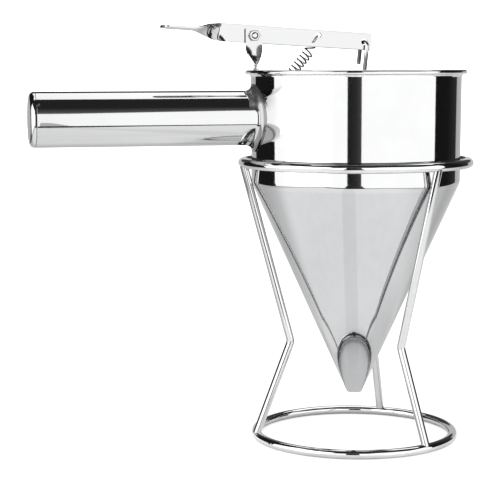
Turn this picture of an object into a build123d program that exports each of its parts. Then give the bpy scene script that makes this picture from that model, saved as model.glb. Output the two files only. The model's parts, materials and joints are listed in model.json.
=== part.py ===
from build123d import *
import os
from math import asin, atan2, cos, dist, hypot, pi, radians, sin, sqrt, tan

# Batter dispenser: a funnel with a thumb lever, standing in a wire stand.
# Millimetres, +Z up. The origin is the centre of the base ring on the table, and the handle points along -X.

# Stand
ring_wire = 5.2
leg_wire = 4.6
base_ring_radius = 57.0
base_flat = 0.3
handle_ring_gap = 3.95
knee_radius = 37.6
knee_height = 56.4
knee_bend = 6.0
leg_turn = -2.5
leg_end_sink = 0.8
seat_clearance = 0.3

# Funnel sheet
sheet = 0.8
rim_height = 211.3
bowl_top_radius = 59.9
bead_reach = 3.1
bead_height = 2.4
bead_fillet = 1.5
bowl_depth = 63.5
shoulder_radius = 59.4
shoulder_round = 8.0
shoulder_skirt = 2.4
tip_radius = 4.2
tip_height = 25.9

# Handle
handle_radius = 15.35
handle_wall = 1.0
handle_drop = 26.7
handle_seam = 181.9
flange_flare = 4.4
flange_reach = 3.7
flange_neck = 0.5
flange_sheet = 0.35
cap_depth = 3.6
cap_round = 3.0
cap_dome = 0.5
cap_wall = 1.0
cap_spigot = 5.0
cap_clearance = 0.1
seam_chamfer = 0.3
vent_hole = 1.4
vent_from_seam = 1.4
vent_angle = 33.0

# Bracket on the inner wall
bracket_width = 9.6
bracket_sheet = 1.2
bracket_corner = 1.0
wall_clearance = 0.02
pivot_above_rim = 19.2
ear_above_pivot = 4.2
ear_below_pivot = 5.0
ear_offset = 1.2
twist_above_rim = 0.5
spring_tab_drop = 16.0
spring_tab_reach = 10.0
spring_tab_bend = 2.0
tab_hole = 2.6
tab_hole_inset = 4.0

# Pivot fasteners
bolt_diameter = 3.0
bolt_head_diameter = 5.8
bolt_head_height = 2.0
bolt_head_round = 0.8
bolt_end = 0.6
bolt_end_chamfer = 0.4
recess_width = 0.8
recess_length = 3.2
recess_depth = 0.9
nut_across_flats = 5.5
nut_height = 2.4
nut_chamfer = 0.3
nut_countersink = 0.4
nut_turn = 2.0
washer_diameter = 6.0
washer_sheet = 0.5
pivot_clearance = 0.05
bolt_hole_clearance = 0.1
lever_play = 0.1

# Lever
lever_sheet = 1.2
lever_width = 10.3
lever_end_width = 9.7
lever_rise = 0.8
lever_tilt = 3.5
lever_past_hook = 4.155
lever_corner = 0.8
lever_twist_start = 13.8
lever_twist_length = 21.5
lever_twist = 86.0
thumb_tab_length = 17.5
thumb_tab_lift = 0.9
thumb_tab_corner = 4.5
spring_hole_reach = 37.6
spring_hole_rise = 2.7
spring_hole = 3.0
twist_steps = 8

# Plunger
rod_wire = 2.3
hook_bend = 2.7
hook_skew = 28.0
hook_lean = 6.0
hook_offset = 5.4
hook_drop = 3.4
hook_tail = 10.0
hook_neck = 22.0
hook_clearance = 0.7
hook_hole_lift = 0.1
rod_bend = 40.0
rod_straight = 10.0
stopper_lift = 5.1
stopper_seat = 6.5
stopper_neck = 2.5
stopper_hub_radius = 4.2
stopper_height = 15.0
stopper_edge = 0.4
stopper_round = 1.0
stopper_socket = 9.0
stopper_clearance = 0.3

# Return spring
spring_wire = 0.8
spring_diameter = 6.4
spring_turns = 11.25
spring_side = 1.0
spring_low_lead = 7.2
spring_low_rise = 5.3
spring_high_lead = 5.6
spring_edge_drop = 2.3
spring_hook_bend = 1.2
spring_hook_lead = 2.7
spring_hook_lift = 0.35
spring_hook_slack = 0.7
spring_stand_off = 1.0
spring_pull = 0.5
spring_low_tail = 3.0
spring_high_tail = 4.6
spring_tail_angle = 52.0

# Heights below the rim: the shoulder of the bowl, the handle and, under its flange, the support ring
shoulder_height = rim_height - bowl_depth
handle_height = rim_height - handle_drop
flange_radius = handle_radius + flange_reach
support_height = handle_height - flange_radius - handle_ring_gap - ring_wire / 2

# Funnel sizes worked out from the driving dimensions
rim_radius = bowl_top_radius + bead_reach
cone_slope = (shoulder_radius - tip_radius) / (shoulder_height - tip_height)
cone_sheet = sheet * sqrt(1 + cone_slope**2)
cone_top = shoulder_height - shoulder_skirt
bowl_inner_top = bowl_top_radius - sheet


def bowl_radius(height):
    share = (height - shoulder_height) / bowl_depth
    return shoulder_radius + share * (bowl_top_radius - shoulder_radius)


def cone_radius(height):
    return tip_radius + (height - tip_height) * cone_slope


def bowl_core(proud):
    with BuildSketch(Plane.XZ) as core:
        with BuildLine():
            Polyline(
                (0, shoulder_height),
                (shoulder_radius + proud, shoulder_height),
                (bowl_top_radius + proud, rim_height),
                (0, rim_height),
                close=True,
            )
        make_face()
    return core.sketch


# Legs lean so that the shoulder of the bowl sits between them
shoulder_run = shoulder_radius - knee_radius
shoulder_climb = shoulder_height - knee_height
leg_offset = leg_wire / 2 + seat_clearance
leg_lean = atan2(shoulder_run, shoulder_climb) + asin(leg_offset / hypot(shoulder_run, shoulder_climb))
support_ring_radius = knee_radius + (support_height - ring_wire / 2 - knee_height) * tan(leg_lean)
base_centre = ring_wire / 2 - base_flat
base_top = ring_wire - base_flat
foot_slope = (base_ring_radius - knee_radius) / (knee_height - base_top)

os.makedirs("parts", exist_ok=True)

# Base ring: round wire, dressed flat underneath so that it stands without rocking
with BuildPart() as base_ring:
    with BuildSketch(Plane.XZ):
        with Locations((base_ring_radius, base_centre)):
            Circle(ring_wire / 2)
    revolve(axis=Axis.Z)
    split(bisect_by=Plane.XY, keep=Keep.TOP)
base_ring.part.label = "base_ring"
export_step(base_ring.part, "parts/base_ring.step")

# Support ring: round wire round the lower part of the bowl
with BuildPart() as support_ring:
    with BuildSketch(Plane.XZ):
        with Locations((support_ring_radius, support_height)):
            Circle(ring_wire / 2)
    revolve(axis=Axis.Z)
support_ring.part.label = "support_ring"
export_step(support_ring.part, "parts/support_ring.step")

# Legs: kneed wires, sawn flat at both ends and fitted to the rings they are welded to
leg_angles = {"leg_handle_side": 180, "leg_front": 300, "leg_rear": 60}
leg_top_point = (knee_radius + (support_height - knee_height) * tan(leg_lean), support_height)
leg_foot_point = (knee_radius + (knee_height - base_centre) * foot_slope, base_centre)
for leg_name, leg_angle in leg_angles.items():
    outward = radians(leg_angle + leg_turn)
    leg_plane = Plane((0, 0, 0), x_dir=(cos(outward), sin(outward), 0), z_dir=(sin(outward), -cos(outward), 0))
    with BuildPart() as leg:
        with BuildLine(leg_plane) as leg_line:
            FilletPolyline(leg_top_point, (knee_radius, knee_height), leg_foot_point, radius=knee_bend)
        with BuildSketch(Plane(leg_line.line @ 0, z_dir=leg_line.line % 0)):
            Circle(leg_wire / 2)
        sweep(path=leg_line.line)
        split(bisect_by=Plane.XY.offset(support_height - ring_wire / 2 + leg_end_sink), keep=Keep.BOTTOM)
        split(bisect_by=Plane.XY.offset(base_top - leg_end_sink), keep=Keep.TOP)
        with BuildSketch(Plane.XZ):
            with Locations((support_ring_radius, support_height), (base_ring_radius, base_centre)):
                Circle(ring_wire / 2)
        revolve(axis=Axis.Z, mode=Mode.SUBTRACT)
    leg.part.label = leg_name
    export_step(leg.part, f"parts/{leg_name}.step")

# Bowl: straight wall with a rolled rim and a rounded shoulder
bead_width = rim_radius - bowl_inner_top
bead_middle = rim_height - bead_height / 2
sweep_height = rim_height - bead_height - bead_fillet
sweep_radius = bowl_radius(sweep_height)
inner_shoulder_height = shoulder_height + (cone_sheet - sheet) / cone_slope
with BuildPart() as bowl:
    with BuildSketch(Plane.XZ):
        with BuildLine():
            outer_wall = FilletPolyline(
                (bowl_radius(bead_middle), bead_middle),
                (shoulder_radius, shoulder_height),
                (cone_radius(cone_top), cone_top),
                radius=shoulder_round,
            )
            inner_wall = FilletPolyline(
                (bowl_radius(bead_middle) - sheet, bead_middle),
                (bowl_radius(inner_shoulder_height) - sheet, inner_shoulder_height),
                (cone_radius(cone_top) - cone_sheet, cone_top),
                radius=shoulder_round - sheet,
            )
            Line(outer_wall @ 0, inner_wall @ 0)
            Line(outer_wall @ 1, inner_wall @ 1)
        make_face()
        with Locations(((rim_radius + bowl_inner_top) / 2, bead_middle)):
            SlotOverall(bead_width, bead_height)
        with BuildLine():
            bead_sweep = JernArc((sweep_radius, sweep_height), tangent=(0, 1), radius=bead_fillet, arc_size=-90)
            Polyline(
                bead_sweep @ 1,
                (sweep_radius + bead_fillet, bead_middle),
                (sweep_radius - sheet / 2, bead_middle),
                (sweep_radius - sheet / 2, sweep_height),
                bead_sweep @ 0,
            )
        make_face()
    revolve(axis=Axis.Z)
bowl.part.label = "bowl"
export_step(bowl.part, "parts/bowl.step")

# Cone: sheet funnel welded under the bowl, cut off square at the tip
with BuildPart() as cone:
    with BuildSketch(Plane.XZ):
        with BuildLine():
            Polyline(
                (cone_radius(cone_top), cone_top),
                (tip_radius, tip_height),
                (tip_radius - cone_sheet, tip_height),
                (cone_radius(cone_top) - cone_sheet, cone_top),
                close=True,
            )
        make_face()
    revolve(axis=Axis.Z)
cone.part.label = "cone"
export_step(cone.part, "parts/cone.step")

# Handle tube: hollow grip with a vent hole near its free end
handle_axis = Axis((0, 0, handle_height), (-1, 0, 0))
handle_bore = handle_radius - handle_wall
handle_root = bowl_radius(handle_height) + flange_sheet + flange_flare + flange_neck
vent_turn = radians(vent_angle)
vent_start = (vent_from_seam - handle_seam, 0, handle_height)
with BuildPart() as handle_tube:
    with BuildSketch(Plane((-handle_seam, 0, handle_height), z_dir=(1, 0, 0))):
        Circle(handle_radius)
        Circle(handle_bore, mode=Mode.SUBTRACT)
    extrude(amount=handle_seam - handle_root)
    seam_edge = handle_tube.edges().filter_by(GeomType.CIRCLE).group_by(Axis.X)[0].sort_by(SortBy.RADIUS)[-1]
    chamfer(seam_edge, seam_chamfer)
    with BuildSketch(Plane(vent_start, z_dir=(0, -cos(vent_turn), sin(vent_turn)))):
        Circle(vent_hole / 2)
    extrude(amount=handle_radius + handle_wall, mode=Mode.SUBTRACT)
handle_tube.part.label = "handle_tube"
export_step(handle_tube.part, "parts/handle_tube.step")

# Handle flange: short neck that flares on to the wall of the bowl and follows its curve
handle_end = Plane((-handle_root, 0, handle_height), z_dir=(1, 0, 0))
with BuildPart() as handle_flange:
    revolve(bowl_core(flange_sheet), axis=Axis.Z)
    with BuildSketch(handle_end):
        Circle(handle_radius)
    extrude(amount=handle_root)
    fillet(handle_flange.edges().filter_by(GeomType.BSPLINE), flange_flare)
    with BuildSketch(handle_end):
        Circle(flange_radius)
        Circle(handle_bore, mode=Mode.SUBTRACT)
    extrude(amount=handle_root - shoulder_radius / 2, mode=Mode.INTERSECT)
    revolve(bowl_core(0), axis=Axis.Z, mode=Mode.SUBTRACT)
handle_flange.part.label = "handle_flange"
export_step(handle_flange.part, "parts/handle_flange.step")

# Handle end cap: pressed cup with a spigot inside the tube
cap_face = handle_seam + cap_depth
spigot_radius = handle_bore - cap_clearance
with BuildPart() as handle_end_cap:
    with BuildSketch(Plane.XZ):
        with BuildLine():
            cap_outline = FilletPolyline(
                (-handle_seam, handle_height + handle_radius),
                (-cap_face + cap_dome, handle_height + handle_radius),
                (-cap_face, handle_height),
                radius=cap_round,
            )
            Polyline(
                cap_outline @ 1,
                (-cap_face + cap_wall, handle_height),
                (-cap_face + cap_wall + cap_dome, handle_height + spigot_radius - cap_wall),
                (-handle_seam + cap_spigot, handle_height + spigot_radius - cap_wall),
                (-handle_seam + cap_spigot, handle_height + spigot_radius),
                (-handle_seam, handle_height + spigot_radius),
                cap_outline @ 0,
            )
        make_face()
    revolve(axis=handle_axis)
    cap_edges = handle_end_cap.edges().filter_by(GeomType.CIRCLE).group_by(SortBy.RADIUS)[-1]
    chamfer(cap_edges.sort_by(Axis.X)[-1], seam_chamfer)
handle_end_cap.part.label = "handle_end_cap"
export_step(handle_end_cap.part, "parts/handle_end_cap.step")

# Places on the pivot, from the ear at y = 0 backwards to the head of the bolt
pivot_height = rim_height + pivot_above_rim
spring_tab_height = rim_height - spring_tab_drop
bracket_wall = min(bowl_radius(spring_tab_height), bowl_top_radius) - sheet
wall_chord = sqrt(bracket_wall**2 - (bracket_width / 2) ** 2)
bracket_x = -(wall_chord - wall_clearance - bracket_sheet / 2)
pivot_x = bracket_x - ear_offset
ear_back = bracket_sheet / 2
lever_front = ear_back + washer_sheet + lever_play
lever_middle = lever_front + lever_sheet / 2
lever_back = lever_front + lever_sheet
head_face = lever_back + lever_play + washer_sheet

# Lever bracket: strip welded to the inner wall, twisted a quarter turn to an ear, with a bent tab for the spring
twist_low = rim_height + twist_above_rim
twist_high = pivot_height - ear_below_pivot
tab_hole_x = bracket_x + spring_tab_reach - tab_hole_inset
with BuildPart() as lever_bracket:
    with BuildLine(Plane.XZ) as strip_line:
        FilletPolyline(
            (bracket_x, twist_low),
            (bracket_x, spring_tab_height),
            (bracket_x + spring_tab_reach, spring_tab_height),
            radius=spring_tab_bend,
        )
    with BuildSketch(Plane((bracket_x, 0, twist_low), x_dir=(1, 0, 0), z_dir=(0, 0, -1))):
        Rectangle(bracket_sheet, bracket_width)
    sweep(path=strip_line.line)
    for step in range(twist_steps + 1):
        share = step / twist_steps
        turned = 1 - (1 - share) ** 1.25
        turn = radians(90) * turned
        station = (bracket_x - turned * ear_offset, 0, twist_low + share * (twist_high - twist_low))
        with BuildSketch(Plane(station, x_dir=(sin(turn), cos(turn), 0), z_dir=(0, 0, 1))):
            Rectangle(bracket_width, bracket_sheet)
    loft()
    with BuildSketch(Plane((pivot_x, ear_back, pivot_height), x_dir=(1, 0, 0), z_dir=(0, -1, 0))):
        with Locations((0, (ear_above_pivot - ear_below_pivot) / 2)):
            ear_sheet = Rectangle(bracket_width, ear_above_pivot + ear_below_pivot)
        fillet(ear_sheet.vertices().group_by(Axis.Y)[-1], bracket_corner)
        Circle(bolt_diameter / 2 + bolt_hole_clearance, mode=Mode.SUBTRACT)
    extrude(amount=bracket_sheet)
    with BuildSketch(Plane((tab_hole_x, 0, spring_tab_height - bracket_sheet / 2))):
        Circle(tab_hole / 2)
    extrude(amount=bracket_sheet, mode=Mode.SUBTRACT)
lever_bracket.part.label = "lever_bracket"
export_step(lever_bracket.part, "parts/lever_bracket.step")

# Pivot bolt: pan head behind the lever, threaded end through the nut in front
nut_face = -ear_back - nut_height
with BuildPart() as pivot_bolt:
    with BuildSketch(Plane((pivot_x, head_face, pivot_height), z_dir=(0, -1, 0))):
        Circle(bolt_diameter / 2)
    extrude(amount=head_face - nut_face + bolt_end)
    with BuildSketch(Plane((pivot_x, head_face, pivot_height), z_dir=(0, 1, 0))):
        Circle(bolt_head_diameter / 2)
    extrude(amount=bolt_head_height)
    fillet(pivot_bolt.edges().group_by(Axis.Y)[-1], bolt_head_round)
    chamfer(pivot_bolt.edges().group_by(Axis.Y)[0], bolt_end_chamfer)
    with BuildSketch(Plane((pivot_x, head_face + bolt_head_height, pivot_height), z_dir=(0, -1, 0))):
        Rectangle(recess_length, recess_width)
        Rectangle(recess_width, recess_length)
    extrude(amount=recess_depth, mode=Mode.SUBTRACT)
pivot_bolt.part.label = "pivot_bolt"
export_step(pivot_bolt.part, "parts/pivot_bolt.step")

# Pivot nut: hex nut on the front of the ear
with BuildPart() as pivot_nut:
    with BuildSketch(Plane((pivot_x, -ear_back, pivot_height), x_dir=(1, 0, 0), z_dir=(0, -1, 0))):
        RegularPolygon(nut_across_flats / 2, 6, major_radius=False, rotation=nut_turn)
    extrude(amount=nut_height)
    chamfer(pivot_nut.edges().group_by(Axis.Y)[0], nut_chamfer)
    with BuildSketch(Plane((pivot_x, -ear_back, pivot_height), z_dir=(0, -1, 0))):
        Circle(bolt_diameter / 2)
    extrude(amount=nut_height, mode=Mode.SUBTRACT)
    chamfer(pivot_nut.edges().filter_by(GeomType.CIRCLE).sort_by(Axis.Y)[0], nut_countersink)
pivot_nut.part.label = "pivot_nut"
export_step(pivot_nut.part, "parts/pivot_nut.step")

# Washers: one on each side of the lever, against the ear and under the head of the bolt
washer_starts = {"ear_washer": ear_back, "head_washer": lever_back + lever_play}
for washer_name, washer_start in washer_starts.items():
    with BuildPart() as washer:
        with BuildSketch(Plane((pivot_x, washer_start, pivot_height), z_dir=(0, 1, 0))):
            Circle(washer_diameter / 2)
            Circle(bolt_diameter / 2 + bolt_hole_clearance, mode=Mode.SUBTRACT)
        extrude(amount=washer_sheet)
    washer.part.label = washer_name
    export_step(washer.part, f"parts/{washer_name}.step")

# Lever: strip on edge, twisted almost a quarter turn to a flat thumb tab
tilt = radians(lever_tilt)
along = Vector(cos(tilt), 0, -sin(tilt))
upward = Vector(sin(tilt), 0, cos(tilt))
pivot = Vector(pivot_x, lever_middle, pivot_height)
hook = Vector(hook_offset, lever_middle, pivot_height - hook_drop)
hook_reach = (hook - pivot).dot(along)
hook_rise = (hook - pivot).dot(upward)
lever_reach = hook_reach + lever_past_hook
twist_end = lever_twist_start + lever_twist_length
with BuildPart() as lever:
    with BuildSketch(Plane((pivot_x, lever_back, pivot_height), x_dir=along, z_dir=(0, -1, 0))) as strip:
        with BuildLine():
            Polyline(
                (-lever_twist_start, lever_rise - lever_width / 2),
                (lever_reach, lever_rise - lever_end_width / 2),
                (lever_reach, lever_rise + lever_end_width / 2),
                (-lever_twist_start, lever_rise + lever_width / 2),
                close=True,
            )
        make_face()
        fillet(strip.vertices().group_by(Axis.X)[-1], lever_corner)
        Circle(bolt_diameter / 2 + pivot_clearance, mode=Mode.SUBTRACT)
        with Locations((spring_hole_reach, spring_hole_rise)):
            Circle(spring_hole / 2, mode=Mode.SUBTRACT)
        with Locations((hook_reach, hook_rise + hook_hole_lift)):
            Circle(rod_wire / 2 + hook_clearance, mode=Mode.SUBTRACT)
    extrude(amount=lever_sheet)
    for step in range(twist_steps + 1):
        share = step / twist_steps
        turned = 3 * share**2 - 2 * share**3
        turn = radians(lever_twist) * turned
        station = pivot - along * (lever_twist_start + share * lever_twist_length)
        station += upward * (lever_rise + turned * thumb_tab_lift)
        edge_direction = upward * cos(turn) - Vector(0, sin(turn), 0)
        with BuildSketch(Plane(station, x_dir=edge_direction, z_dir=-along)):
            Rectangle(lever_width, lever_sheet)
    loft()
    thumb_up = upward * sin(radians(lever_twist)) + Vector(0, cos(radians(lever_twist)), 0)
    thumb_middle = pivot - along * (twist_end + thumb_tab_length / 2) + upward * (lever_rise + thumb_tab_lift)
    with BuildSketch(Plane(thumb_middle - thumb_up * (lever_sheet / 2), x_dir=along, z_dir=thumb_up)):
        tab_sheet = Rectangle(thumb_tab_length, lever_width)
        fillet(tab_sheet.vertices().group_by(Axis.X)[0], thumb_tab_corner)
    extrude(amount=lever_sheet)
lever.part.label = "lever"
export_step(lever.part, "parts/lever.step")

# Plunger rod: wire hooked through the lever, leaning in to the middle of the spout
stopper_bottom = tip_height + stopper_lift
stopper_top = stopper_bottom + stopper_height
skew = radians(hook_skew)
lean = radians(hook_lean)
hook_down = Vector(-sin(lean), 0, -cos(lean))
hook_across = Vector(cos(lean), 0, -sin(lean))
hook_side = (hook_across * sin(skew) - Vector(0, cos(skew), 0)) * hook_bend
hook_centre = hook + hook_down * hook_bend
hook_tail_end = hook_centre - hook_side + hook_down * hook_tail
hook_neck_end = hook_centre + hook_side + hook_down * hook_neck
with BuildPart() as plunger_rod:
    with BuildLine() as rod_line:
        Line(hook_tail_end, hook_centre - hook_side)
        ThreePointArc(hook_centre - hook_side, hook, hook_centre + hook_side)
        FilletPolyline(
            hook_centre + hook_side,
            hook_neck_end,
            (0, 0, stopper_top + rod_straight),
            (0, 0, stopper_top - stopper_socket),
            radius=rod_bend,
        )
    with BuildSketch(Plane(hook_tail_end, z_dir=-hook_down)):
        Circle(rod_wire / 2)
    sweep(path=rod_line.line)
plunger_rod.part.label = "plunger_rod"
export_step(plunger_rod.part, "parts/plunger_rod.step")

# Stopper: turned plug that closes the spout from inside
stopper_gap = cone_sheet + stopper_clearance * sqrt(1 + cone_slope**2)
seat_top = stopper_bottom + stopper_seat
with BuildPart() as stopper:
    with BuildSketch(Plane.XZ):
        with BuildLine():
            FilletPolyline(
                (0, stopper_bottom),
                (cone_radius(stopper_bottom) - stopper_gap, stopper_bottom),
                (cone_radius(seat_top) - stopper_gap, seat_top),
                (stopper_hub_radius, seat_top + stopper_neck),
                (stopper_hub_radius, stopper_top),
                (0, stopper_top),
                radius=(stopper_edge, stopper_round, stopper_round, stopper_edge),
            )
            Line((0, stopper_top), (0, stopper_bottom))
        make_face()
    revolve(axis=Axis.Z)
    with BuildSketch(Plane.XY.offset(stopper_top)):
        Circle(rod_wire / 2)
    extrude(amount=-stopper_socket, mode=Mode.SUBTRACT)
stopper.part.label = "stopper"
export_step(stopper.part, "parts/stopper.step")

# Return spring: one unbroken wire, hooked through the bracket's tab, wound, and hooked through the lever
spring_radius = (spring_diameter - spring_wire) / 2
spring_eye = pivot + along * spring_hole_reach + upward * spring_hole_rise
eye_above_edge = spring_hole_rise - lever_rise + lever_width / 2
spring_low = Vector(tab_hole_x + spring_low_lead, spring_side, spring_tab_height + spring_low_rise)
spring_high_height = spring_eye.Z - eye_above_edge - spring_edge_drop
spring_high = Vector(spring_eye.X - spring_high_lead, spring_side, spring_high_height)
spring_axis = (spring_high - spring_low).normalized()
spring_pitch = (spring_high - spring_low).length / spring_turns
spring_back = Vector(0, 1, 0)
spring_across = spring_axis.cross(spring_back)


def coil_point(turns):
    angle = 2 * pi * turns
    offset = spring_across * sin(angle) - spring_back * cos(angle)
    return spring_low + spring_axis * (spring_pitch * turns) + offset * spring_radius


def coil_tangent(turns):
    angle = 2 * pi * turns
    round_part = spring_across * cos(angle) + spring_back * sin(angle)
    return (round_part * (2 * pi * spring_radius) + spring_axis * spring_pitch).normalized()


def add_biarc(start, start_tangent, end, end_tangent):
    chord = end - start
    advance = chord.dot(start_tangent + end_tangent)
    bend = 2 * (1 - start_tangent.dot(end_tangent))
    reach = (sqrt(advance**2 + bend * chord.dot(chord)) - advance) / bend
    middle = (start + end + (start_tangent - end_tangent) * reach) * 0.5
    TangentArc(start, middle, tangent=start_tangent)
    TangentArc(middle, end, tangent=chord - (start_tangent + end_tangent) * reach)


def least_gap(edges, wire, apart):
    points = [tuple(edge @ (step / 8)) for edge in edges for step in range(8)]
    travelled = [0.0]
    for before, after in zip(points, points[1:]):
        travelled.append(travelled[-1] + dist(before, after))
    gaps = [
        dist(points[i], points[j]) - wire
        for i in range(len(points))
        for j in range(i)
        if travelled[i] - travelled[j] > apart
    ]
    return min(gaps)


tab_stand_off = bracket_sheet / 2 + spring_wire / 2 + spring_stand_off
eye_stand_off = lever_sheet / 2 + spring_wire / 2 + spring_stand_off
eye_wire = spring_eye - (along + upward) * spring_pull
tail_turn = radians(spring_tail_angle)
tab_under = Vector(tab_hole_x, 0, spring_tab_height - tab_stand_off)
tab_above = Vector(tab_hole_x, 0, spring_tab_height + tab_stand_off)
eye_behind = eye_wire + spring_back * eye_stand_off
eye_dip = eye_behind - Vector(spring_hook_slack, 0, eye_above_edge - spring_hook_lift)
eye_before = eye_wire - spring_back * eye_stand_off
eye_tail = eye_before - Vector(cos(tail_turn), 0, sin(tail_turn)) * spring_high_tail
coil_start = coil_point(0)
coil_end = coil_point(spring_turns)
quarter_turns = round(spring_turns * 4)
with BuildPart() as return_spring:
    with BuildLine() as spring_line:
        FilletPolyline(
            tab_under + Vector(spring_low_tail, 0, 0),
            tab_under,
            tab_above,
            coil_start - coil_tangent(0) * spring_hook_lead,
            coil_start,
            radius=spring_hook_bend,
        )
        for quarter in range(quarter_turns):
            before = spring_turns * quarter / quarter_turns
            after = spring_turns * (quarter + 1) / quarter_turns
            add_biarc(coil_point(before), coil_tangent(before), coil_point(after), coil_tangent(after))
        FilletPolyline(
            coil_end,
            coil_end + coil_tangent(spring_turns) * spring_hook_lead,
            eye_dip,
            eye_behind,
            eye_before,
            eye_tail,
            radius=spring_hook_bend,
        )
    with BuildSketch(Plane(spring_line.line @ 0, z_dir=spring_line.line % 0)):
        Circle(spring_wire / 2)
    sweep(path=spring_line.line)
return_spring.part.label = "return_spring"
export_step(return_spring.part, "parts/return_spring.step")
spring_gap = least_gap(spring_line.wire().edges(), spring_wire, spring_diameter / 2 + spring_wire)
print(f"least gap of the spring to itself: {spring_gap:.2f} mm")
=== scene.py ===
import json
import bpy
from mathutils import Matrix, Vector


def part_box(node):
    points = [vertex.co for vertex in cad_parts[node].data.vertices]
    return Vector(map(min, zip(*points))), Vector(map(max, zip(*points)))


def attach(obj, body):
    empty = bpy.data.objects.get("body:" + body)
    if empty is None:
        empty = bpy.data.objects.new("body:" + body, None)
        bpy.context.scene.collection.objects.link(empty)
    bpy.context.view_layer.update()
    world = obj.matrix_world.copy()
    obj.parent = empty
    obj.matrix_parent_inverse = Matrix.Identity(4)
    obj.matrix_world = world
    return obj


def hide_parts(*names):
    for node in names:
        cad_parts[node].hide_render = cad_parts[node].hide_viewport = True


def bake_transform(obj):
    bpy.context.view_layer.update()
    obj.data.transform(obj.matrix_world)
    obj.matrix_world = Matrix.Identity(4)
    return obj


bl_info = {
    "name": "Batter Dispenser",
    "version": (1, 0, 0),
    "blender": (4, 5, 0),
    "location": "3D View > Sidebar > Dispenser",
    "description": "Finishes a steel batter dispenser and the studio that it stands in",
    "category": "Object",
}

from math import cos, pi, radians, sin, tan

import bmesh
import bpy
from bpy.props import FloatProperty, FloatVectorProperty, IntProperty, PointerProperty
from bpy.types import Operator, Panel, PropertyGroup
from mathutils import Matrix, Vector

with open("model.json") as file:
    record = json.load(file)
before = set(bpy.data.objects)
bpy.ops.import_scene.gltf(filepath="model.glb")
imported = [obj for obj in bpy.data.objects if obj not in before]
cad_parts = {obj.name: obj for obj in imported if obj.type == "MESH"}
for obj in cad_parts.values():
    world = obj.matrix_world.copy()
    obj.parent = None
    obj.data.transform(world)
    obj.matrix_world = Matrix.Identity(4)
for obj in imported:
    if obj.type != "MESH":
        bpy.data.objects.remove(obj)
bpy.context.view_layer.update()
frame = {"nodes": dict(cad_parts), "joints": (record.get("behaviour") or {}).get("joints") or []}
nodes = frame["nodes"]
joints = {joint["name"]: joint for joint in frame["joints"]}
lever_pivot = Vector(joints["lever_press"]["pos_m"])
rod_hook = Vector(joints["plunger_hang"]["pos_m"])


# Settings, with lengths in metres


def number(name, description, default):
    return FloatProperty(name=name, description=description, default=default)


def length(name, description, default):
    return FloatProperty(
        name=name, description=description, default=default, subtype="DISTANCE", unit="LENGTH"
    )


def angle(name, description, degrees):
    return FloatProperty(
        name=name, description=description, default=radians(degrees), subtype="ANGLE", unit="ROTATION"
    )


def share(name, description, default):
    return FloatProperty(
        name=name, description=description, default=default, min=0, soft_max=1, subtype="FACTOR"
    )


def colour(name, description, default):
    return FloatVectorProperty(
        name=name, description=description, default=default, min=0, max=1, subtype="COLOR"
    )


class SteelSettings(PropertyGroup):
    chrome: colour("Chrome", "Reflection of the plated stand", (0.58, 0.582, 0.586))
    sheet: colour("Sheet", "Reflection of the polished bowl", (0.496, 0.497, 0.5))
    handle: colour("Handle", "Reflection of the handle, its cap and its flange", (0.476, 0.477, 0.48))
    cone: colour("Cone", "Reflection of the satin cone", (0.467, 0.47, 0.475))
    strip: colour("Strip", "Reflection of the lever, bracket and stopper", (0.46, 0.461, 0.464))
    screw: colour("Screw", "Reflection of the pivot's fasteners", (0.48, 0.48, 0.48))
    rod: colour("Rod", "Reflection of the rod", (0.45, 0.45, 0.453))
    spring: colour("Spring", "Reflection of the coil's far side", (0.5, 0.5, 0.5))
    # Near-black tone of the painted shade on the coil's near side, its hooks and its tail
    wire_painted_shade: colour("Painted shade", "Reflection of the coil's near side", (0.016, 0.016, 0.0165))
    chrome_roughness: share("Chrome roughness", "Roughness of clean plating", 0.05)
    polish_roughness: share("Polish roughness", "Roughness of the bowl, handle and rod", 0.05)
    satin_roughness: share("Satin roughness", "Roughness of the cone", 0.035)
    strip_roughness: share("Strip roughness", "Roughness of the lever, flange, screws and stopper", 0.06)
    bracket_roughness: share("Bracket roughness", "Roughness of the bracket", 0.16)
    wire_roughness: share("Wire roughness", "Roughness of the spring's wire", 0.16)
    sheet_wave: length("Sheet wave", "Height of the slow dents in the pressed sheet", 0.00003)
    handle_wave: length("Handle wave", "Height of the slow dents in the handle", 0.00004)
    strip_wave: length("Strip wave", "Height of the slow dents in the strips", 0.00003)


class StandSettings(PropertyGroup):
    knee_radius: length("Knee radius", "From the middle of the stand to a leg's knee", 0.0376)
    knee_height: length("Knee height", "From the table up to a leg's knee", 0.0564)
    foot_slope: number("Foot slope", "How far a leg spreads below its knee", 0.377)
    head_slope: number("Head slope", "How far a leg spreads above its knee", 0.268)
    handle_leg: angle("Handle leg", "Direction of the leg on the handle's side", 177.5)
    front_leg: angle("Front leg", "Direction of the front leg", 297.5)


class FunnelSettings(PropertyGroup):
    mouth_radius: length("Mouth radius", "From the axis to the wall's outside, at the rim", 0.0599)
    wall_slope: number("Wall slope", "How far the wall draws in below the rim", 0.00787)
    spout_radius: length("Spout radius", "From the axis to the cone's outside, at its tip", 0.0042)
    cone_slope: number("Cone slope", "How far the cone spreads above its tip", 0.453)
    skin: length("Skin", "Depth in the sheet at which its inner finish starts", 0.0004)


class LeverSettings(PropertyGroup):
    tilt: angle("Tilt", "Fall of the lever towards the rod", 3.5)
    sheet: length("Sheet", "Thickness of the lever's strip", 0.0012)
    middle: length("Middle", "From the pivot up to the middle of the strip", 0.0008)
    twist: length("Twist", "From the pivot back to the end of the twist", 0.0138)
    half: length("Half", "Half the height of the strip, where the twist ends", 0.00515)
    taper: number("Taper", "How fast that half falls towards the rod", 0.0036)
    soft_edge: length("Soft edge", "Width of the strip's rounded edges", 0.00015)
    hole_reach: length("Hole reach", "From the pivot along the lever to the hook's hole", 0.0376)
    hole_rise: length("Hole rise", "From the pivot up to the hook's hole", 0.0027)


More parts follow.
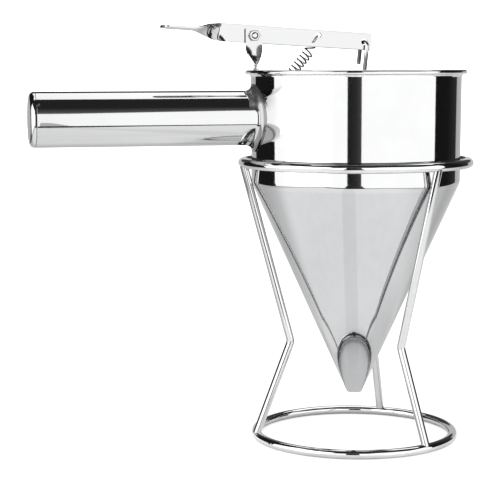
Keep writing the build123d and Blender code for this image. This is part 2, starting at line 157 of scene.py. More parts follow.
class SpringSettings(PropertyGroup):
    wire: length("Wire", "Diameter of the wire", 0.00095)
    diameter: length("Diameter", "Outer diameter of the coil", 0.0064)
    turns: number("Turns", "Turns of the coil", 11.25)
    side: length("Side", "How far the coil lies behind the bracket's middle", 0.001)
    low_lead: length("Low lead", "From the tab's hole to the foot of the coil", 0.0072)
    low_rise: length("Low rise", "From the tab up to the foot of the coil", 0.0053)
    high_lead: length("High lead", "From the head of the coil to the lever's hole", 0.0056)
    high_drop: length("High drop", "From the lever's hole down to the head of the coil", 0.00935)
    bend: length("Bend", "Radius of the hooks' bends", 0.0012)
    lead: length("Lead", "Straight wire between the coil and a hook", 0.0027)
    dip: length("Dip", "From the lever's hole down to the hook's lowest bend", 0.0067)
    slack: length("Slack", "How far that bend lies towards the coil", 0.0007)
    stand_off: length("Stand-off", "Wire standing clear of the sheet at each hole", 0.001)
    pull: length("Pull", "How far the hook is pulled off the middle of its hole", 0.0005)
    low_tail: length("Low tail", "End of the wire under the tab", 0.003)
    high_tail: length("High tail", "End of the wire in front of the lever", 0.0046)
    tail_angle: angle("Tail angle", "Slope of that end", 52)
    tab_inset: length("Tab inset", "From the tab's end to the middle of its hole", 0.004)
    tab_sheet: length("Tab sheet", "Thickness of the bracket's strip", 0.0012)
    sides: IntProperty(name="Sides", description="Sides of the wire", default=12)
    steps: IntProperty(name="Steps", description="Steps in each turn of the coil", default=28)
    bend_steps: IntProperty(name="Bend steps", description="Steps in each bend of a hook", default=9)


class StudioSettings(PropertyGroup):
    sky: number("Sky", "Brightness of the white surround", 1.97)
    floor: share("Floor", "Shade of the floor as the steel mirrors it", 0.785)
    floor_paint: share("Floor paint", "Shade of the floor as the camera sees it", 0.34)
    floor_glow: share("Floor glow", "Light that this floor gives of its own", 0.66)
    camera_place: FloatVectorProperty(
        name="Camera place",
        description="Where the camera stands",
        default=(-0.2515, -0.8566, 0.2111),
        subtype="TRANSLATION",
        unit="LENGTH",
    )
    camera_pitch: angle("Camera pitch", "How far the camera looks down", 6.243)
    camera_yaw: angle("Camera yaw", "How far the camera looks to the right", 12.5)
    camera_roll: angle("Camera roll", "How far the camera leans", 0.12)
    camera_lens: number("Camera lens", "Focal length in millimetres", 112.18)


# Materials


class Field:
    """A value that changes over a surface. Arithmetic on it adds Math nodes to its material."""

    def __init__(self, finish, socket):
        self.finish = finish
        self.socket = socket

    def __add__(self, other):
        return self.finish.math("ADD", self, other)

    def __radd__(self, other):
        return self.finish.math("ADD", other, self)

    def __sub__(self, other):
        return self.finish.math("SUBTRACT", self, other)

    def __rsub__(self, other):
        return self.finish.math("SUBTRACT", other, self)

    def __mul__(self, other):
        return self.finish.math("MULTIPLY", self, other)

    def __rmul__(self, other):
        return self.finish.math("MULTIPLY", other, self)


class Finish:
    """A material in the making: a metal shader and the nodes that feed it."""

    def __init__(self, name):
        self.material = bpy.data.materials.new(name)
        self.material.use_nodes = True
        self.tree = self.material.node_tree
        self.shader = self.tree.nodes["Principled BSDF"]
        self.shader.inputs["Metallic"].default_value = 1
        self.place = self.add("ShaderNodeTexCoord", output="Object")

    def add(self, kind, settings=None, inputs=None, output=0):
        node = self.tree.nodes.new(kind)
        for name, value in (settings or {}).items():
            setattr(node, name, value)
        for name, value in (inputs or {}).items():
            self.feed(node.inputs[name], value)
        return Field(self, node.outputs[output])

    def feed(self, socket, value):
        if isinstance(value, Field):
            self.tree.links.new(value.socket, socket)
        else:
            socket.default_value = value

    def math(self, operation, first, second=0.0):
        return self.add("ShaderNodeMath", {"operation": operation}, {0: first, 1: second})

    def magnitude(self, value):
        return self.math("ABSOLUTE", value)

    def most(self, first, *others):
        """The greatest of some values."""
        for other in others:
            first = self.math("MAXIMUM", first, other)
        return first

    def remap(self, value, start, end, first, last):
        """Goes smoothly from first to last while a value goes from start to end."""
        settings = {"interpolation_type": "SMOOTHSTEP", "clamp": True}
        inputs = {"Value": value, 1: start, 2: end, 3: first, 4: last}
        return self.add("ShaderNodeMapRange", settings, inputs)

    def rise(self, value, start, end, depth=1.0):
        """Goes from 0 to a depth."""
        return self.remap(value, start, end, 0, depth)

    def fall(self, value, start, end, depth=1.0):
        """Goes from a depth to 0."""
        return self.remap(value, start, end, depth, 0)

    def stretched(self, scale, turn=(0, 0, 0)):
        inputs = {"Vector": self.place, "Scale": scale, "Rotation": turn}
        return self.add("ShaderNodeMapping", {}, inputs)

    def noise(self, vector, scale=1.0, detail=2.0, distortion=0.0):
        inputs = {"Vector": vector, "Scale": scale, "Detail": detail, "Distortion": distortion}
        return self.add("ShaderNodeTexNoise", {}, inputs, "Fac")

    def mix(self, factor, first, second):
        inputs = {"Factor": factor, 6: first, 7: second}
        return self.add("ShaderNodeMix", {"data_type": "RGBA"}, inputs, 2)

    def bump(self, height, distance, normal=None):
        inputs = {"Height": height, "Distance": distance, "Strength": 1.0}
        if normal is not None:
            inputs["Normal"] = normal
        return self.add("ShaderNodeBump", {}, inputs)

    def axes(self):
        split = self.add("ShaderNodeSeparateXYZ", {}, {0: self.place}).socket.node
        return [Field(self, output) for output in split.outputs]

    def shade(self, colour, roughness, normal=None):
        self.feed(self.shader.inputs["Base Color"], colour)
        self.feed(self.shader.inputs["Roughness"], roughness)
        if normal is not None:
            self.feed(self.shader.inputs["Normal"], normal)
        return self.material


def opaque(rgb, level=1.0):
    return (rgb[0] * level, rgb[1] * level, rgb[2] * level, 1)


def grey(level):
    return (level, level, level, 1)


def ring_distance(finish, first, second, centre):
    """Distance from an axis, of two coordinates and their values on the axis."""
    across = first - centre[0]
    along = second - centre[1]
    return finish.math("POWER", across * across + along * along, 0.5)


# Grain of each finish, as noise scales along x, y and z
PLATED_GRAIN = (220, 220, 220)
PRESSED_GRAIN = (60, 60, 60)
SATIN_GRAIN = (300, 300, 12)
TUBE_GRAIN = (8, 900, 900)
STRIP_GRAIN = (12, 1500, 1500)
SCREW_GRAIN = (700, 700, 700)
DRAWN_GRAIN = (1500, 1500, 20)
TURNED_GRAIN = (20, 20, 5000)

# Noise scales of the slow dents in sheet and in narrow strips
SHEET_DENTS = 14
STRIP_DENTS = 60

# Wear, duller insides, painted highlights and painted shade that every finish shares: noise scales,
# limits in a noise, and shares of the finish's own tone
GRAIN_RELIEF = 0.0000004
GRAIN_LIMITS = (0.3, 0.7)
GRAIN_TONES = (0.985, 1.015)
SMUDGE_SCALE = 38
SMUDGE_LIMITS = (0.5, 0.72)
SMUDGE_STRENGTH = 0.5
SMUDGE_TONE = 0.97
WORN_SCALE = 60
WORN_LIMITS = (0.52, 0.7)
SCRATCH_WIDTH = 0.012
UPRIGHT_SCRATCHES = {"scale": (30, 30, 900), "turn": (0.4, 0.2, 0.3)}
LEVEL_SCRATCHES = {"scale": (700, 40, 40), "turn": (0.1, 0.5, 0.9)}
# Tone of a painted highlight, as a share of the finish's own tone
PAINTED_HIGHLIGHT_TONE = 1.5
INSIDE_TONE = 1.3
INSIDE_ROUGHNESS = 0.2
INSIDE_DULLNESS = 0.5
# Near-black tone that painted shade darkens a finish towards
PAINTED_SHADE_TONE = 0.06


def hairlines(finish, scale, turn):
    """Fine scratches: thin level lines of a noise that is stretched along them."""
    pattern = finish.noise(finish.stretched(scale, turn), detail=3, distortion=0.4)
    return finish.fall(finish.magnitude(pattern - 0.5), 0, SCRATCH_WIDTH)


def steel(
    name,
    rgb,
    roughness,
    grain_scale,
    grain=0.012,
    smudge=0.03,
    scratch=0.05,
    wave=0.0,
    dents=SHEET_DENTS,
    painted_highlight=None,
    inside=None,
    painted_shade=None,
):
    """Polished metal with a grain, finger smudges, hairline scratches and slow dents.

    grain, smudge and scratch are what each of these adds to the roughness. The last three are functions
    of the finish, which mark its painted highlights, its duller inside and its painted shade.
    """
    finish = Finish(name)
    lines = finish.noise(finish.stretched(grain_scale), detail=4)
    smears = finish.noise(finish.place, SMUDGE_SCALE, detail=4, distortion=0.6)
    smudges = finish.rise(smears, *SMUDGE_LIMITS)
    scratches = hairlines(finish, **UPRIGHT_SCRATCHES) + hairlines(finish, **LEVEL_SCRATCHES)
    worn = finish.rise(finish.noise(finish.place, WORN_SCALE), *WORN_LIMITS) * scratches
    surface = roughness + (lines - 0.5) * grain + smudges * smudge + worn * scratch
    dark, light = GRAIN_TONES
    tone = finish.mix(finish.rise(lines, *GRAIN_LIMITS), opaque(rgb, dark), opaque(rgb, light))
    tone = finish.mix(smudges * SMUDGE_STRENGTH, tone, opaque(rgb, SMUDGE_TONE))
    # Painted highlight: brightens the tone where the given function marks it
    if painted_highlight:
        tone = finish.mix(painted_highlight(finish), tone, opaque(rgb, PAINTED_HIGHLIGHT_TONE))
    if inside:
        within = inside(finish)
        tone = finish.mix(within, tone, opaque(rgb, INSIDE_TONE))
        surface = surface + within * INSIDE_ROUGHNESS
        finish.feed(finish.shader.inputs["Metallic"], 1 - within * INSIDE_DULLNESS)
    # Painted shade: darkens the tone where the given function marks it
    if painted_shade:
        tone = finish.mix(painted_shade(finish), tone, opaque(rgb, PAINTED_SHADE_TONE))
    normal = finish.bump(finish.noise(finish.place, dents, detail=1), wave) if wave else None
    normal = finish.bump(lines, GRAIN_RELIEF, normal)
    return finish.shade(tone, surface, normal)


def dress(material, *names):
    for name in names:
        nodes[name].material_slots[0].material = material


def settled(name, mesh, material):
    """Makes an object of a finished bmesh, with its place in its mesh."""
    data = bpy.data.meshes.new(name)
    mesh.to_mesh(data)
    mesh.free()
    data.materials.append(material)
    piece = bpy.data.objects.new(name, data)
    bpy.context.scene.collection.objects.link(piece)
    return piece


# Stand


class LegPlace:
    """Where a point lies on a leg: above the knee, and off the middle of its wire."""

    knee_blur = 0.001
    flank_blur = 0.0002

    def __init__(self, finish, stand, turn):
        self.finish = finish
        x, y, z = finish.axes()
        self.climb = z - stand.knee_height
        spread = finish.most(self.climb * -stand.foot_slope, self.climb * stand.head_slope)
        self.x = x - (spread + stand.knee_radius) * cos(turn)
        self.y = y - (spread + stand.knee_radius) * sin(turn)
        self.below = finish.fall(self.climb, -self.knee_blur, self.knee_blur)

    def flank(self, degrees, inset, depth):
        """A band on the side of the wire that faces a direction."""
        ahead = self.x * cos(radians(degrees)) + self.y * sin(radians(degrees))
        return self.finish.rise(ahead, inset, inset + self.flank_blur, depth)

    def line(self, degrees, width, depth):
        """A line along the side of the wire that faces a direction."""
        beside = self.y * cos(radians(degrees)) - self.x * sin(radians(degrees))
        line = self.finish.fall(self.finish.magnitude(beside), width / 4, width / 2, depth)
        return line * self.flank(degrees, inset=0, depth=1)


class DISPENSER_OT_plate_stand(Operator):
    """Give the wire stand its bright plating"""

    bl_idname = "dispenser.plate_stand"
    bl_label = "Plate Stand"

    def execute(self, context):
        metal = context.scene.dispenser_steel
        stand = context.scene.dispenser_stand

        # Painted reflection: dark bands and lines along the wire of the handle-side leg, below and above
        # the knee
        def handle_side(finish):
            outer, near = 167, 257
            leg = LegPlace(finish, stand, stand.handle_leg)
            foot_edge = leg.flank(outer, inset=0.0013, depth=0.95)
            foot_line = leg.line(near, width=0.0006, depth=0.75)
            head_edge = leg.flank(outer, inset=0.0011, depth=0.42)
            head_line = leg.line(near, width=0.0009, depth=0.85)
            head_line = head_line * finish.rise(leg.climb, start=0.006, end=0.024)
            head_line = head_line * finish.remap(leg.climb, start=0.04, end=0.06, first=1, last=0.3)
            foot = finish.most(foot_edge, foot_line)
            head = finish.most(head_edge, head_line)
            return finish.most(foot * leg.below, head * (1 - leg.below))

        # Painted reflection: dark bands along two sides of the front leg below the knee, and a faint
        # painted shade over the whole leg
        def front(finish):
            right, left = 341.5, 161.5
            overall = 0.06
            leg = LegPlace(finish, stand, stand.front_leg)
            edge = leg.flank(right, inset=0.0014, depth=0.95)
            shade = leg.flank(left, inset=0.0004, depth=0.42)
            return finish.most(finish.most(edge, shade) * leg.below, overall)

        def chrome(name, painted_shade=None):
            return steel(name, metal.chrome, metal.chrome_roughness, PLATED_GRAIN, painted_shade=painted_shade)

        dress(chrome("stand_chrome"), "base_ring", "support_ring", "leg_rear")
        dress(chrome("handle_leg_chrome", handle_side), "leg_handle_side")
        dress(chrome("front_leg_chrome", front), "leg_front")
        return {"FINISHED"}


# Funnel


class DISPENSER_OT_polish_funnel(Operator):
    """Polish the bowl and rub the cone to satin"""

    bl_idname = "dispenser.polish_funnel"
    bl_label = "Polish Funnel"

    def execute(self, context):
        metal = context.scene.dispenser_steel
        size = context.scene.dispenser_funnel
        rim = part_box("bowl")[1].z
        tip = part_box("cone")[0].z

        def within(finish):
            blur = 0.0001
            x, y, z = finish.axes()
            wall = size.mouth_radius - (rim - z) * size.wall_slope
            cone = size.spout_radius + (z - tip) * size.cone_slope
            depth = finish.math("MINIMUM", wall, cone) - ring_distance(finish, x, y, (0, 0))
            return finish.rise(depth, size.skin, size.skin + blur)

        # Painted highlight on a band of the wall just below the rim
        def rim_painted_highlight(finish):
            x, y, z = finish.axes()
            low = finish.rise(z, start=rim - 0.0045, end=rim - 0.0036)
            high = finish.fall(z, start=rim - 0.0019, end=rim - 0.0012)
            return low * high

        bowl = steel(
            "bowl_polish",
            metal.sheet,
            metal.polish_roughness,
            PRESSED_GRAIN,
            grain=0,
            scratch=0,
            wave=metal.sheet_wave,
            painted_highlight=rim_painted_highlight,
            inside=within,
        )
        cone = steel(
            "cone_satin",
            metal.cone,
            metal.satin_roughness,
            SATIN_GRAIN,
            scratch=0.02,
            wave=metal.sheet_wave,
            inside=within,
        )
        dress(bowl, "bowl")
        dress(cone, "cone")
        return {"FINISHED"}


# Handle


class DISPENSER_OT_polish_handle(Operator):
    """Polish the handle with its cap and flange"""

    bl_idname = "dispenser.polish_handle"
    bl_label = "Polish Handle"

    def execute(self, context):
        metal = context.scene.dispenser_steel
        low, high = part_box("handle_tube")
        middle = (low + high) / 2
        radius = (high.y - low.y) / 2
        cap_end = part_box("handle_end_cap")[0].x

        def near_painted_shade(finish):
            """Painted shade on the near side, from a level foot up to a crest that sinks away from the
            cap.
            """
            foot_drop = 0.0036
            x, y, z = finish.axes()
            above = z - middle.z + foot_drop
            crest = finish.fall(x, start=low.x + 0.004, end=low.x + 0.026, depth=0.0026)
            crest = crest * finish.rise(x, start=low.x + 0.001, end=low.x + 0.002)
            shade = finish.fall(above - crest, start=-0.0005, end=0.0002, depth=0.6)
            foot = finish.rise(above, start=0, end=0.0003)
            near = finish.fall(y - middle.y, start=-0.006, end=-0.004)
            return shade * foot * near

        # Painted shade in the tube's bore and on its near side, with a slight darkening towards the
        # cap's end
        def tube_painted_shade(finish):
            x, y, z = finish.axes()
            apart = ring_distance(finish, y, z, (middle.y, middle.z))
            bore = finish.fall(apart, start=radius - 0.0004, end=radius - 0.0002, depth=0.9)
            toward_cap = finish.fall(x, start=low.x, end=middle.x, depth=0.05)
            return finish.most(bore, toward_cap, near_painted_shade(finish))

        def upper(finish, depth=1.0):
            x, y, z = finish.axes()
            return finish.rise(z, start=middle.z + 0.005, end=middle.z + 0.01, depth=depth)

        # Painted shade on the flange's flare and on its upper part
        def flange_painted_shade(finish):
            x, y, z = finish.axes()
            apart = ring_distance(finish, y, z, (middle.y, middle.z))
            flared = finish.rise(apart, start=radius + 0.00037, end=radius + 0.0005, depth=0.6)
            return finish.most(flared, upper(finish, depth=0.93))

        def faced(finish, depth=1.0):
            x, y, z = finish.axes()
            return finish.fall(x, start=cap_end + 0.0003, end=cap_end + 0.0006, depth=depth)

        # Painted shade on the cap's end face
        def cap_painted_shade(finish):
            return faced(finish, depth=0.55)

        tube = steel(
            "handle_polish",
            metal.handle,
            metal.polish_roughness,
            TUBE_GRAIN,
            grain=0,
            wave=metal.handle_wave,
            painted_shade=tube_painted_shade,
        )
        cap = steel(
            "cap_polish",
            metal.handle,
            metal.polish_roughness,
            PRESSED_GRAIN,
            grain=0,
            inside=faced,
            painted_shade=cap_painted_shade,
        )
        flange = steel(
            "flange_polish_painted_shade",
            metal.handle,
            metal.strip_roughness,
            PRESSED_GRAIN,
            grain=0,
            inside=upper,
            painted_shade=flange_painted_shade,
        )
        dress(tube, "handle_tube")
        dress(cap, "handle_end_cap")
        dress(flange, "handle_flange")
        return {"FINISHED"}


# Lever


def lever_axes(lever):
    along = Vector((cos(lever.tilt), 0, -sin(lever.tilt)))
    upward = Vector((sin(lever.tilt), 0, cos(lever.tilt)))
    return along, upward


def spring_eye(lever):
    along, upward = lever_axes(lever)
    return lever_pivot + along * lever.hole_reach + upward * lever.hole_rise


def softened(name, material, body, width, holes):
    """Copies a sheet node with its sharp edges rounded, but not in its holes. The copy replaces it."""
    same_point = 0.000002
    same_plane = radians(0.02)
    corner = radians(40)
    hole_room = 0.0028
    level_side = 0.99999
    broad_face = 0.000003
    mesh = bmesh.new()
    mesh.from_mesh(nodes[name].data)
    bmesh.ops.remove_doubles(mesh, verts=mesh.verts, dist=same_point)
    bmesh.ops.dissolve_limit(mesh, angle_limit=same_plane, verts=mesh.verts, edges=mesh.edges)
    sharp = []
    for edge in mesh.edges:
        apart = min((vert.co - hole).length for vert in edge.verts for hole in holes)
        if apart > hole_room and edge.is_manifold and edge.calc_face_angle() > corner:
            sharp.append(edge)
    bmesh.ops.bevel(
        mesh, geom=sharp, offset=width, affect="EDGES", segments=3, profile=0.5, material=-1
    )
    for face in mesh.faces:
        face.smooth = abs(face.normal.y) < level_side and face.calc_area() < broad_face
    piece = settled(name + "_soft", mesh, material)
    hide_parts(name)
    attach(piece, body)


class DISPENSER_OT_brighten_lever(Operator):
    """Finish the lever, its bracket and the pivot's fasteners"""

    bl_idname = "dispenser.brighten_lever"
    bl_label = "Brighten Lever"

    def execute(self, context):
        metal = context.scene.dispenser_steel
        lever = context.scene.dispenser_lever
        thumb_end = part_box("lever")[0].x
        eye = spring_eye(lever)

        # Painted shade in the gap round the bolt's thread, and a painted dark outline on the fasteners
        # more than 2.8 mm from the pivot
        def screw_painted_shade(finish):
            thread_radius = 0.00155
            x, y, z = finish.axes()
            apart = ring_distance(finish, x, z, (lever_pivot.x, lever_pivot.z))
            off_thread = finish.magnitude(apart - thread_radius)
            thread = finish.fall(off_thread, start=0.0001, end=0.00025, depth=0.9)
            outline = finish.rise(apart, start=0.00262, end=0.0028, depth=0.9)
            return finish.most(thread, outline)

        # Painted shade along the strip's edges, a painted dark line along its lower edge and painted
        # shade round the spring's hole; the thumb tab's end is darkened almost to black
        def lever_painted_shade(finish):
            x, y, z = finish.axes()
            ahead = x - lever_pivot.x
            above = z - lever_pivot.z
            reach = ahead * cos(lever.tilt) - above * sin(lever.tilt)
            height = ahead * sin(lever.tilt) + above * cos(lever.tilt) - lever.middle
            half = lever.half - (reach + lever.twist) * lever.taper
            inward = half - finish.magnitude(height)
            off_eye = ring_distance(finish, x, z, (eye.x, eye.z))
            thumb = finish.fall(x, start=thumb_end + 0.0016, end=thumb_end + 0.0026, depth=0.97)
            edges = finish.fall(inward, start=0.0001, end=0.001, depth=0.13)
            edges = edges * finish.rise(reach, start=-lever.twist, end=-lever.twist + 0.001)
            sole = finish.fall(height + half, start=0.0003, end=0.00055, depth=0.45)
            sole = sole * finish.rise(reach, start=0.004, end=0.006)
            hole = finish.fall(off_eye, start=0.0017, end=0.0018, depth=0.8)
            hole = hole * finish.rise(x - eye.x, start=-0.0004, end=0.0004)
            return finish.most(thumb, edges, sole, hole)

        def strip(name, roughness, painted_shade=None):
            return steel(
                name,
                metal.strip,
                roughness,
                STRIP_GRAIN,
                wave=metal.strip_wave,
                dents=STRIP_DENTS,
                painted_shade=painted_shade,
            )

        bracket = strip("bracket_polish", metal.bracket_roughness)
        screws = steel("fastener_bright", metal.screw, metal.strip_roughness, SCREW_GRAIN, painted_shade=screw_painted_shade)
        shaded_lever = strip("lever_polish", metal.strip_roughness, lever_painted_shade)
        holes = (lever_pivot, rod_hook, eye)
        softened("lever", shaded_lever, "lever", lever.soft_edge, holes)
        dress(bracket, "lever_bracket")
        dress(screws, "pivot_bolt", "pivot_nut", "ear_washer", "head_washer")
        return {"FINISHED"}


# Plunger


class DISPENSER_OT_finish_plunger(Operator):
    """Finish the plunger's rod and its stopper"""

    bl_idname = "dispenser.finish_plunger"
    bl_label = "Finish Plunger"

    def execute(self, context):
        metal = context.scene.dispenser_steel

        # Painted shade on the rod: dark more than a centimetre below the hook, on its back near the
        # hook, and on its right side below the hook
        def scale(finish):
            side = 0.00128
            lean = 0.105
            x, y, z = finish.axes()
            climb = z - rod_hook.z
            off_side = x - rod_hook.x - side - climb * lean
            neck = finish.fall(climb, start=-0.01, end=-0.004, depth=0.8)
            behind = finish.rise(y, start=-0.0005, end=0.0003, depth=0.92)
            behind = behind * finish.rise(climb, start=-0.016, end=-0.01)
            right = finish.rise(off_side, start=-0.0002, end=0.0003, depth=0.96)
            right = right * finish.fall(climb, start=-0.007, end=-0.004)
            return finish.most(neck, behind, right)

        rod = steel("rod_drawn", metal.rod, metal.polish_roughness, DRAWN_GRAIN, painted_shade=scale)
        plug = steel("stopper_turned", metal.strip, metal.strip_roughness, TURNED_GRAIN, grain=0.08)
        dress(rod, "plunger_rod")
        dress(plug, "stopper")
        return {"FINISHED"}


# Spring

BACK = Vector((0, 1, 0))


class WireBender:
    """One wire in a bmesh. Its open end is pushed straight, bent round a radius or wound into a coil."""

    def __init__(self, start, heading, diameter, sides, bend, bend_steps):
        self.mesh = bmesh.new()
        self.tip = start
        self.heading = heading.normalized()
        self.bend = bend
        self.bend_steps = bend_steps
        turned = self.heading.to_track_quat("Z", "Y").to_matrix().to_4x4()
        bmesh.ops.create_circle(
            self.mesh,
            cap_ends=True,
            segments=sides,
            radius=diameter / 2,
            matrix=Matrix.Translation(start) @ turned,
        )
        self.end = list(self.mesh.edges)

    def push(self, distance):
        grown = bmesh.ops.extrude_edge_only(self.mesh, edges=self.end)["geom"]
        points = [item for item in grown if isinstance(item, bmesh.types.BMVert)]
        step = self.heading * distance
        bmesh.ops.translate(self.mesh, vec=step, verts=points)
        moved = set(points)
        edges = [item for item in grown if isinstance(item, bmesh.types.BMEdge)]
        self.end = [edge for edge in edges if moved.issuperset(edge.verts)]
        self.tip = self.tip + step

    def turn(self, centre, axis, amount, steps, rise=0.0):
        spun = bmesh.ops.spin(
            self.mesh,
            geom=self.end,
            cent=centre,
            axis=axis,
            dvec=axis * (rise / steps),
            angle=amount,
            steps=steps,
            use_merge=False,
        )
        self.end = [item for item in spun["geom_last"] if isinstance(item, bmesh.types.BMEdge)]
        turned = Matrix.Rotation(amount, 3, axis)
        self.tip = centre + turned @ (self.tip - centre) + axis * rise
        self.heading = turned @ self.heading

    def follow(self, corners):
        """Runs to the last corner, with a bend at each corner before it."""
        for corner, after in zip(corners, corners[1:]):
            heading = (after - corner).normalized()
            amount = self.heading.angle(heading)
            self.push((corner - self.tip).length - self.bend * tan(amount / 2))
            axis = self.heading.cross(heading).normalized()
            self.turn(self.tip + axis.cross(self.heading) * self.bend, axis, amount, self.bend_steps)
        self.push((corners[-1] - self.tip).length)

    def finish(self):
        bmesh.ops.edgeloop_fill(self.mesh, edges=self.end)
        bmesh.ops.recalc_face_normals(self.mesh, faces=self.mesh.faces)
        for face in self.mesh.faces:
            face.smooth = len(face.verts) == 4
        self.mesh.normal_update()
        return self.mesh


class Coil:
    """The line of a coil from its low to its high end, and where and how its wire starts out."""

    def __init__(self, low, high, radius, turns):
        self.low = low
        self.axis = (high - low).normalized()
        self.rise = (high - low).length
        self.across = self.axis.cross(BACK)
        self.foot = low - BACK * radius
        round_way = self.across * (2 * pi * radius * turns)
        self.heading = (round_way + self.axis * self.rise).normalized()


def wire_painted_shade(mesh, coil, wire, lever_front):
    """Paints shade on the near half of each turn, on both hooks, and on one flank of the end in front of
    the lever.
    """
    half_blur = 0.15
    crown_shade = 0.84
    flank_start = 0.4
    flank_gain = 3
    flank_limit = 0.1
    layer = mesh.verts.layers.float.new("wire_painted_shade")
    for vert in mesh.verts:
        climb = (vert.co - coil.low).dot(coil.axis)
        if vert.co.y < lever_front and climb > coil.rise:
            flank = max(vert.normal.dot(coil.across) - flank_start, 0) * flank_gain
            vert[layer] = flank if vert.normal.dot(BACK) < flank_limit else 0
        elif -wire < climb < coil.rise + wire:
            out = (vert.co - coil.low - coil.axis * climb).normalized()
            edge = out.dot(coil.across)
            near = edge / 2 - out.dot(BACK)
            half = min(max(near + half_blur, 0) / (2 * half_blur), 1)
            vert[layer] = half * (crown_shade + (1 - crown_shade) * edge * edge)
        else:
            vert[layer] = 1


class DISPENSER_OT_wind_spring(Operator):
    """Wind the return spring between the bracket's tab and the lever"""

    bl_idname = "dispenser.wind_spring"
    bl_label = "Wind Spring"

    def execute(self, context):
        size = context.scene.dispenser_spring
        lever = context.scene.dispenser_lever
        metal = context.scene.dispenser_steel
        bracket_low, bracket_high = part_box("lever_bracket")
        half_tab = size.tab_sheet / 2
        hole = Vector((bracket_high.x - size.tab_inset, 0, bracket_low.z + half_tab))
        eye = spring_eye(lever)
        low = hole + Vector((size.low_lead, size.side, size.low_rise))
        high = Vector((eye.x - size.high_lead, size.side, eye.z - size.high_drop))
        coil = Coil(low, high, (size.diameter - size.wire) / 2, size.turns)

        stand_off = size.wire / 2 + size.stand_off
        under = hole - Vector((0, 0, half_tab + stand_off))
        above = hole + Vector((0, 0, half_tab + stand_off))
        tail = under + Vector((size.low_tail, 0, 0))
        wire = WireBender(tail, under - tail, size.wire, size.sides, size.bend, size.bend_steps)
        wire.follow([under, above, coil.foot - coil.heading * size.lead, coil.foot])
        wire.turn(low, -coil.axis, size.turns * 2 * pi, round(size.turns * size.steps), -coil.rise)

        along, upward = lever_axes(lever)
        hook = eye - (along + upward) * size.pull
        behind = hook + BACK * (lever.sheet / 2 + stand_off)
        before = hook - BACK * (lever.sheet / 2 + stand_off)
        dip = behind - Vector((size.slack, 0, size.dip))
        end = before - Vector((cos(size.tail_angle), 0, sin(size.tail_angle))) * size.high_tail
        wire.follow([wire.tip + wire.heading * size.lead, dip, behind, before, end])

        mesh = wire.finish()
        # Painted shade: the wire goes from its own tone to near black by the painted shade stored on its
        # points
        wire_painted_shade(mesh, coil, size.wire, hook.y - lever.sheet / 2)
        finish = Finish("spring_wire")
        dark = finish.add("ShaderNodeAttribute", {"attribute_name": "wire_painted_shade"}, {}, "Fac")
        tone = finish.mix(dark, opaque(metal.spring), opaque(metal.wire_painted_shade))
        drawn = finish.shade(tone, metal.wire_roughness)
        spring = settled("return_spring_wire", mesh, drawn)
        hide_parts("return_spring")
        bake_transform(spring)
        return {"FINISHED"}


# Studio


def glow(name):
    """A material that takes no light and is as bright as the tone of its mesh."""
    finish = Finish(name)
    tone = finish.add("ShaderNodeAttribute", {"attribute_name": "tone"}, {}, "Color")
    lamp = finish.add("ShaderNodeEmission", {}, {"Color": tone})
    finish.feed(finish.tree.nodes["Material Output"].inputs["Surface"], lamp)
    finish.tree.nodes.remove(finish.shader)
    return finish.material


def matte(name):
    finish = Finish(name)
    finish.shader.inputs["Metallic"].default_value = 0
    finish.shader.inputs["Specular IOR Level"].default_value = 0
    return finish


def toned_card(name, rows):
    """A card through rows of points, each of x, y, z and a brightness. Only the steel mirrors it."""
    mesh = bmesh.new()
    tone = mesh.verts.layers.float_color.new("tone")
    grid = []
    for row in rows:
        grid.append([])
        for x, y, z, level in row:
            corner = mesh.verts.new((x, y, z))
            corner[tone] = grey(level)
            grid[-1].append(corner)
    for low, high in zip(grid, grid[1:]):
        for index in range(len(low) - 1):
            mesh.faces.new((low[index], low[index + 1], high[index + 1], high[index]))
    card = settled(name, mesh, glow(name))
    card.visible_camera = False
    card.visible_diffuse = False
    card.visible_shadow = False


def post(distance, degrees, height, level):
    """A point of a card, in a direction that is counted from the front."""
    return (distance * sin(radians(degrees)), -distance * cos(radians(degrees)), height, level)


def upright_card(name, distance, low, high, levels, foot, head=None):
    """A card round the dispenser. foot and head give the directions of its posts, levels their tones."""
    rows = []
    for height, turns in ((low, foot), (high, head or foot)):
        rows.append([post(distance, turn, height, level) for turn, level in zip(turns, levels)])
    toned_card(name, rows)


def camera_cards():
    """The dark side that the camera stands on, with a wider skirt below the table."""
    distance = 1.6
    bottom, table, top = -0.5, 0.02, 2.0
    levels = (0.02, 0.05, 0.11)
    posts = (-24.8, -15, -10)
    skirt_posts = (-28, -15, -6.5)
    upright_card("camera_card", distance, table, top, levels, posts)
    upright_card("skirt_card", distance, bottom, table, levels, skirt_posts, posts)


def wall_cards():
    """Dark walls on both sides, and a back wall that is pale below and dark above."""
    side_distance, back_distance = 1.1, 1.3
    bottom, back_band, left_top, right_top, back_top = -0.3, 0.37, 0.45, 1.35, 1.21
    left_back, left_front, right_front, right_back = -154.3, -112.4, 76.5, 122
    black, pale, dim = 0.016, 0.65, 0.065
    left_posts = (left_back, left_front)
    right_posts = (right_front, 100, right_back)
    right_levels = (0.013, black, 0.05)
    back_posts = (right_back, 164, left_back + 360)
    upright_card("left_card", side_distance, bottom, left_top, (black, black), left_posts)
    upright_card("right_card", side_distance, bottom, right_top, right_levels, right_posts)
    upright_card("back_card", back_distance, bottom, back_band, (pale, pale, pale), back_posts)
    upright_card("dark_card", back_distance, back_band, back_top, (dim, dim, dim), back_posts)
    high_edge = ((left_top, left_front), (0.775, -100), (1.05, -94), (1.41, -89), (2.3, -82))
    rows = []
    for height, edge in high_edge:
        rows.append([post(side_distance, turn, height, black) for turn in (left_back, edge)])
    toned_card("high_card", rows)


